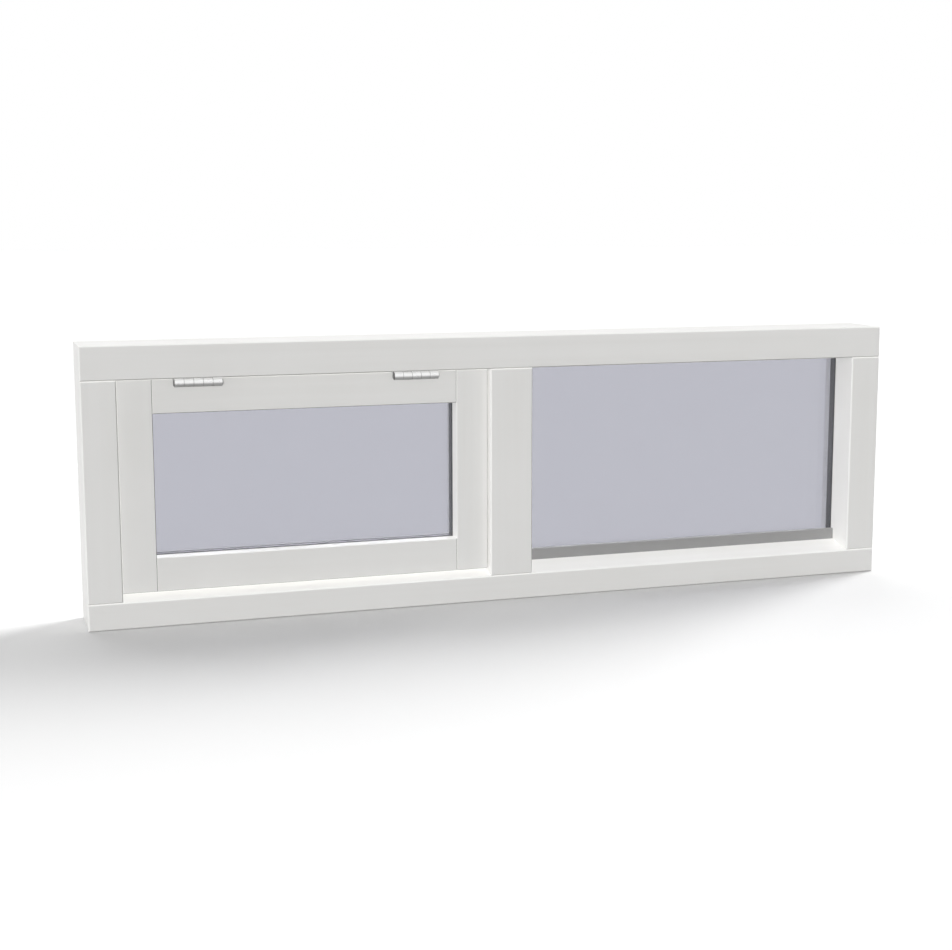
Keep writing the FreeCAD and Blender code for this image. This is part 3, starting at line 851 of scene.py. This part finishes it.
@dataclass
class SubAssembly:
    """Pieces of the window that belong together, with the finishes and trees they are built with."""

    finishes: Finishes
    trees: RepeatTrees

    WELD_DISTANCE = 0.000002
    FLAT_ANGLE = math.radians(0.5)
    EDGE_ANGLE = math.radians(30)
    EDGE_SEGMENTS = 2

    def dress(self, finish: str, nodes: Iterable[str], arris: float = 0.0) -> None:
        """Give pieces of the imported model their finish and, if asked, softer edges.

        Args:
            finish: The finish's name.
            nodes: The pieces' names.
            arris: The width of the softened edges, or 0 for none.
        """
        for node in nodes:
            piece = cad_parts[node]
            for slot in piece.material_slots:
                slot.material = self.finishes.named(finish)
            if not piece.material_slots:
                piece.data.materials.append(self.finishes.named(finish))
            if arris > 0:
                self.soften(piece, arris)
            log.info("dressed %s with %s", node, finish)

    def soften(self, piece: bpy.types.Object, arris: float) -> None:
        """Soften a piece's edges.

        Args:
            piece: The piece.
            arris: The width of its softened edges.
        """
        weld = piece.modifiers.new("joined corners", "WELD")
        weld.merge_threshold = self.WELD_DISTANCE
        flat = piece.modifiers.new("whole faces", "DECIMATE")
        flat.decimate_type = "DISSOLVE"
        flat.angle_limit = self.FLAT_ANGLE
        bevel = piece.modifiers.new("softened edges", "BEVEL")
        bevel.limit_method = "ANGLE"
        bevel.angle_limit = self.EDGE_ANGLE
        bevel.width = arris
        bevel.segments = self.EDGE_SEGMENTS
        bevel.harden_normals = True

    def add_heads(
        self, name: str, head: CountersunkHead, facing: Facing, spacing: float, edges: Iterable[Edge]
    ) -> None:
        """Set screw or pin heads along edges."""
        sizes = head.sizes(spacing, facing, self.finishes.named("bright_screw"))
        grow_along(name, edges, self.trees.heads, sizes)


@dataclass
class OuterFrame(SubAssembly):
    """Head, sill, jambs and mullion, with the channel at the fixed glass's foot."""

    arris: float = 0.0004

    def build(self) -> None:
        """Paint the members with their grain along them, and finish the channel."""
        self.dress(Grain.LEVEL.paint("painted_frame"), ("head", "sill"), self.arris)
        uprights = ("left_jamb", "mullion", "right_jamb")
        self.dress(Grain.UPRIGHT.paint("painted_frame"), uprights, self.arris)
        self.dress("grey_bar", ["sill_glazing_bar"])


@dataclass
class AwningSash(SubAssembly):
    """Top hung sash frame and the weather seals it closes on."""

    arris: float = 0.0004

    def build(self) -> None:
        """Paint the rails and stiles with their grain along them, and finish the seals."""
        rails = ("sash_top_rail", "sash_bottom_rail")
        stiles = ("sash_left_stile", "sash_right_stile")
        self.dress(Grain.LEVEL.paint("painted_sash"), rails, self.arris)
        self.dress(Grain.UPRIGHT.paint("painted_sash"), stiles, self.arris)
        self.dress("weather_seal", [f"seal_{side}" for side in ("top", "bottom", "left", "right")])


@dataclass
class GlazedLight(SubAssembly):
    """Double glass with its beads, spacer and edge seals, in the sash or in the frame."""

    name: str
    pin_spacing: float = 0.13
    pin_corner_gap: float = 0.045
    pin_line: float = 0.0045
    pin_stand: float = 0.0001
    pin: CountersunkHead = CountersunkHead(0.0014, 0.00084, 0.0012, 0.0004, 0.0003, 11)
    spacer_width: float = 0.011
    slot_spacing: float = 0.006
    slot_corner_gap: float = 0.012
    slot_size: tuple[float, float, float] = (0.0022, 0.0006, 0.0001)
    sealant_radius: float = 0.0005

    def dress_all(self) -> None:
        """Give the panes, the spacer, the blocks and the beads their finishes."""
        finishes = {
            "tinted_glass": ("outer_pane",),
            "clear_glass": ("inner_pane",),
            "spacer_metal": ("spacer",),
            "setting_block": ("setting_blocks",),
            Grain.LEVEL.paint("painted_bead"): ("bead_top", "bead_bottom"),
            Grain.UPRIGHT.paint("painted_bead"): ("bead_left", "bead_right"),
        }
        for finish, pieces in finishes.items():
            self.dress(finish, [f"{self.name}_{piece}" for piece in pieces])

    def make_bead_pins(self) -> None:
        """Set small steel pins through the flat of each bead."""
        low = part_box(f"{self.name}_bead_left")[0]
        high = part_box(f"{self.name}_bead_right")[1]
        inset = Vector((self.pin_line, 0.0, self.pin_line))
        depth = high.y + self.pin_stand
        edges = rectangle_edges(low + inset, high - inset, depth, self.pin_corner_gap)
        self.add_heads(f"{self.name}_bead_pins", self.pin, Facing.INDOORS, self.pin_spacing, edges)

    def spacer_opening(self) -> tuple[Vector, Vector]:
        """Find the clear opening inside the spacer.

        Returns:
            The opening's lowest and highest corners.
        """
        low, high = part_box(f"{self.name}_spacer")
        wall = Vector((self.spacer_width, 0.0, self.spacer_width))
        return low + wall, high - wall

    def make_spacer_slots(self) -> None:
        """Lay thin near-black marks along the middle of the spacer, a painted shadow standing in for its row
        of breathing slots.
        """
        low, high = self.spacer_opening()
        length, width, height = self.slot_size
        sizes = {
            "Spacing": self.slot_spacing,
            "Slot Length": length,
            "Slot Width": width,
            "Slot Height": height,
            "Material": self.finishes.named("slot_shadow"),
        }
        edges = rectangle_edges(low, high, (low.y + high.y) / 2, self.slot_corner_gap)
        grow_along(f"{self.name}_spacer_slots", edges, self.trees.slots, sizes)

    def make_edge_sealant(self) -> None:
        """Run the thin dark sealant line where the spacer meets each pane."""
        low, high = self.spacer_opening()
        sizes = {"Line Radius": self.sealant_radius, "Material": self.finishes.named("edge_sealant")}
        edges = [
            edge
            for depth in (low.y + self.sealant_radius, high.y - self.sealant_radius)
            for edge in rectangle_edges(low, high, depth, 0.0)
        ]
        grow_along(f"{self.name}_edge_sealant", edges, self.trees.cord, sizes)

    def build(self) -> None:
        """Dress the light and add its small parts."""
        self.dress_all()
        self.make_bead_pins()
        self.make_spacer_slots()
        self.make_edge_sealant()


@dataclass
class ButtHinge(SubAssembly):
    """Five knuckle butt hinge and the screws in its leaves."""

    name: str
    screw_spacing: float = 0.0295
    screw_end_distance: float = 0.012
    screw_edge_distance: float = 0.010
    leaf_thickness: float = 0.0025
    screw: CountersunkHead = CountersunkHead(0.0040, 0.0021, 0.0019, 0.0009, 0.0009, 5)

    def build(self) -> None:
        """Dress the leaves and the pin, and screw both leaves down."""
        self.dress("hinge_steel", [f"{self.name}_{leaf}" for leaf in ("frame_leaf", "sash_leaf")])
        self.dress("hinge_pin", [f"{self.name}_pin"])
        leaf_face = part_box(f"{self.name}_frame_leaf")[1].z - self.leaf_thickness
        self.make_screws("frame_leaf", Facing.DOWN, leaf_face)
        self.make_screws("sash_leaf", Facing.UP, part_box("sash_top_rail")[1].z)

    def make_screws(self, leaf: str, facing: Facing, face: float) -> None:
        """Set countersunk screws in one leaf's holes.

        Args:
            leaf: Which leaf.
            facing: The way its screw heads look.
            face: The height of the face that they are flush with.
        """
        low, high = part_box(f"{self.name}_{leaf}")
        depth = high.y - self.screw_edge_distance
        start = Vector((low.x + self.screw_end_distance, depth, face))
        end = Vector((high.x - self.screw_end_distance, depth, face))
        row = f"{self.name}_{leaf}_screws"
        self.add_heads(row, self.screw, facing, self.screw_spacing, [(start, end)])


@dataclass
class LeverHandle(SubAssembly):
    """Lever handle on the inside of the bottom rail, and the screws of its base."""

    screw_end_distance: float = 0.0075
    screw_stand: float = 0.0002
    screw: CountersunkHead = CountersunkHead(0.0035, 0.0018, 0.0016, 0.0008, 0.0009, 3)
    arris: float = 0.0003

    def build(self) -> None:
        """Dress the base and the lever, and screw the base down."""
        self.dress("handle_metal", ("handle_base", "handle_lever"), self.arris)
        low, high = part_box("handle_base")
        height = (low.z + high.z) / 2
        depth = high.y + self.screw_stand
        start = Vector((low.x + self.screw_end_distance, depth, height))
        end = Vector((high.x - self.screw_end_distance, depth, height))
        self.add_heads("handle_screws", self.screw, Facing.INDOORS, end.x - start.x, [(start, end)])


@dataclass(frozen=True)
class StudioLamp:
    """A wide soft lamp far away, and what it lights.

    Strength is the light on a face that looks straight at the lamp, where 1 shows a colour as written.
    Spread is how wide the lamp looks from the window, in degrees.
    """

    name: str
    towards: tuple[float, float, float]
    strength: float
    spread: float
    shadows: bool = False
    on_floor: bool = False

    def build(self, floor: bpy.types.Object) -> None:
        """Add the lamp, for the floor alone or for everything but the floor.

        Args:
            floor: The studio's floor.
        """
        data = bpy.data.lights.new(self.name, "SUN")
        data.energy = self.strength * math.pi
        data.angle = math.radians(self.spread)
        data.use_shadow = self.shadows
        lamp = bpy.data.objects.new(self.name, data)
        lamp.rotation_euler = Vector(self.towards).to_track_quat("Z", "Y").to_euler()
        lamp.visible_glossy = False
        bpy.context.scene.collection.objects.link(lamp)
        receivers = bpy.data.collections.new(self.name + " receivers")
        receivers.objects.link(floor)
        state = "INCLUDE" if self.on_floor else "EXCLUDE"
        receivers.collection_objects[0].light_linking.link_state = state
        lamp.light_linking.receiver_collection = receivers


@dataclass
class Studio:
    """Pale floor, white surroundings, even lamps and the camera."""

    camera_place: tuple[float, float, float] = (-0.9492, -2.7914, 0.6923)
    camera_turn: float = 18.59
    camera_dip: float = 8.47
    lens: float = 61.54
    sensor: float = 36.0
    shift: tuple[float, float] = (-0.0212, -0.0185)
    ambient: float = 0.28
    bounce: float = 0.32
    view_distance: float = 200.0
    floor_half_width: float = 30.0
    floor_height: float = -0.0005
    floor_colour: float = 0.90
    floor_glow: float = 0.14
    lamps: tuple[StudioLamp, ...] = (
        StudioLamp("front lamp", (-0.25, -0.95, 0.18), 0.31, 20.0),
        StudioLamp("soft front lamp", (-0.25, -0.95, 0.18), 0.13, 20.0, shadows=True),
        StudioLamp("left lamp", (-0.98, -0.15, 0.12), 0.33, 20.0),
        StudioLamp("soft left lamp", (-0.99, -0.12, 0.10), 0.14, 12.0, shadows=True),
        StudioLamp("right lamp", (0.98, -0.05, 0.10), 0.07, 20.0),
        StudioLamp("soft right lamp", (0.98, -0.05, 0.10), 0.10, 40.0, shadows=True),
        StudioLamp("high lamp", (-0.05, -0.08, 1.0), 0.52, 20.0),
        StudioLamp("rear lamp", (0.25, 0.94, 0.20), 0.07, 20.0),
        StudioLamp("soft rear lamp", (0.25, 0.94, 0.20), 0.38, 40.0, shadows=True),
        StudioLamp("low floor lamp", (0.860, 0.370, 0.350), 1.45, 32.0, shadows=True, on_floor=True),
        StudioLamp("rear floor lamp", (0.0, 0.737, 0.676), 0.35, 59.0, shadows=True, on_floor=True),
    )

    def add_camera(self) -> None:
        """Place the camera at the photograph's viewing angle."""
        data = bpy.data.cameras.new("camera")
        data.sensor_width = self.sensor
        data.lens = self.lens
        data.shift_x, data.shift_y = self.shift
        data.clip_end = self.view_distance
        camera = bpy.data.objects.new("camera", data)
        camera.location = self.camera_place
        camera.rotation_euler = Euler(
            (math.radians(90 - self.camera_dip), 0.0, math.radians(-self.camera_turn))
        )
        bpy.context.scene.collection.objects.link(camera)
        bpy.context.scene.camera = camera

    def set_world(self) -> None:
        """Show white to the eye, in gloss and through glass, and light with a softer level."""
        world = bpy.data.worlds.new("surroundings")
        bpy.context.scene.world = world
        world.use_nodes = True
        sketch = NodeSketch(world.node_tree)
        path = sketch.add("ShaderNodeLightPath")
        seen = sketch.math("MAXIMUM", path.outputs["Is Camera Ray"], path.outputs["Is Glossy Ray"])
        seen = sketch.math("MAXIMUM", seen, path.outputs["Is Transmission Ray"])
        level = sketch.rescale(seen, 0.0, 1.0, self.ambient, 1.0)
        sketch.feed(world.node_tree.nodes["Background"], {"Color": grey(1.0), "Strength": level})

    def add_floor(self) -> bpy.types.Object:
        """Lay a pale floor that keeps the shadow, lights evenly and reads white through glass.

        Returns:
            The floor.
        """
        half, height = self.floor_half_width, self.floor_height
        corners = [(-half, -half, height), (half, -half, height), (half, half, height), (-half, half, height)]
        mesh = bpy.data.meshes.new("floor")
        mesh.from_pydata(corners, [], [(0, 1, 2, 3)])
        floor = bpy.data.objects.new("floor", mesh)
        bpy.context.scene.collection.objects.link(floor)
        material = bpy.data.materials.new("floor")
        material.use_nodes = True
        sketch = NodeSketch(material.node_tree)
        material.node_tree.nodes.remove(material.node_tree.nodes["Principled BSDF"])
        matt = sketch.add("ShaderNodeBsdfDiffuse", {"Color": grey(self.floor_colour)})
        glow, even, white = (
            sketch.add("ShaderNodeEmission", {"Strength": strength})
            for strength in (self.floor_glow, self.bounce, 1.0)
        )
        path = sketch.add("ShaderNodeLightPath").outputs
        shown = sketch.add("ShaderNodeAddShader", {0: matt.outputs[0], 1: glow.outputs[0]})
        lit = sketch.mix_shaders(path["Is Diffuse Ray"], shown, even)
        sketch.show(sketch.mix_shaders(path["Is Transmission Ray"], lit, white))
        mesh.materials.append(material)
        return floor

    def build(self) -> None:
        """Set up the whole studio."""
        bpy.context.scene.view_settings.view_transform = "Standard"
        self.add_camera()
        self.set_world()
        floor = self.add_floor()
        for lamp in self.lamps:
            lamp.build(floor)


def main() -> None:
    """Build every part of the window in turn, and then the studio."""
    logging.basicConfig(level=logging.INFO, format="%(name)s: %(message)s")
    finishes, trees = Finishes(), RepeatTrees()
    OuterFrame(finishes, trees).build()
    AwningSash(finishes, trees).build()
    GlazedLight(finishes, trees, "sash").build()
    GlazedLight(finishes, trees, "fixed", pin_spacing=0.15).build()
    for side in ("left", "right"):
        ButtHinge(finishes, trees, f"hinge_{side}").build()
    LeverHandle(finishes, trees).build()
    Studio().build()


if __name__ == "__main__":
    main()
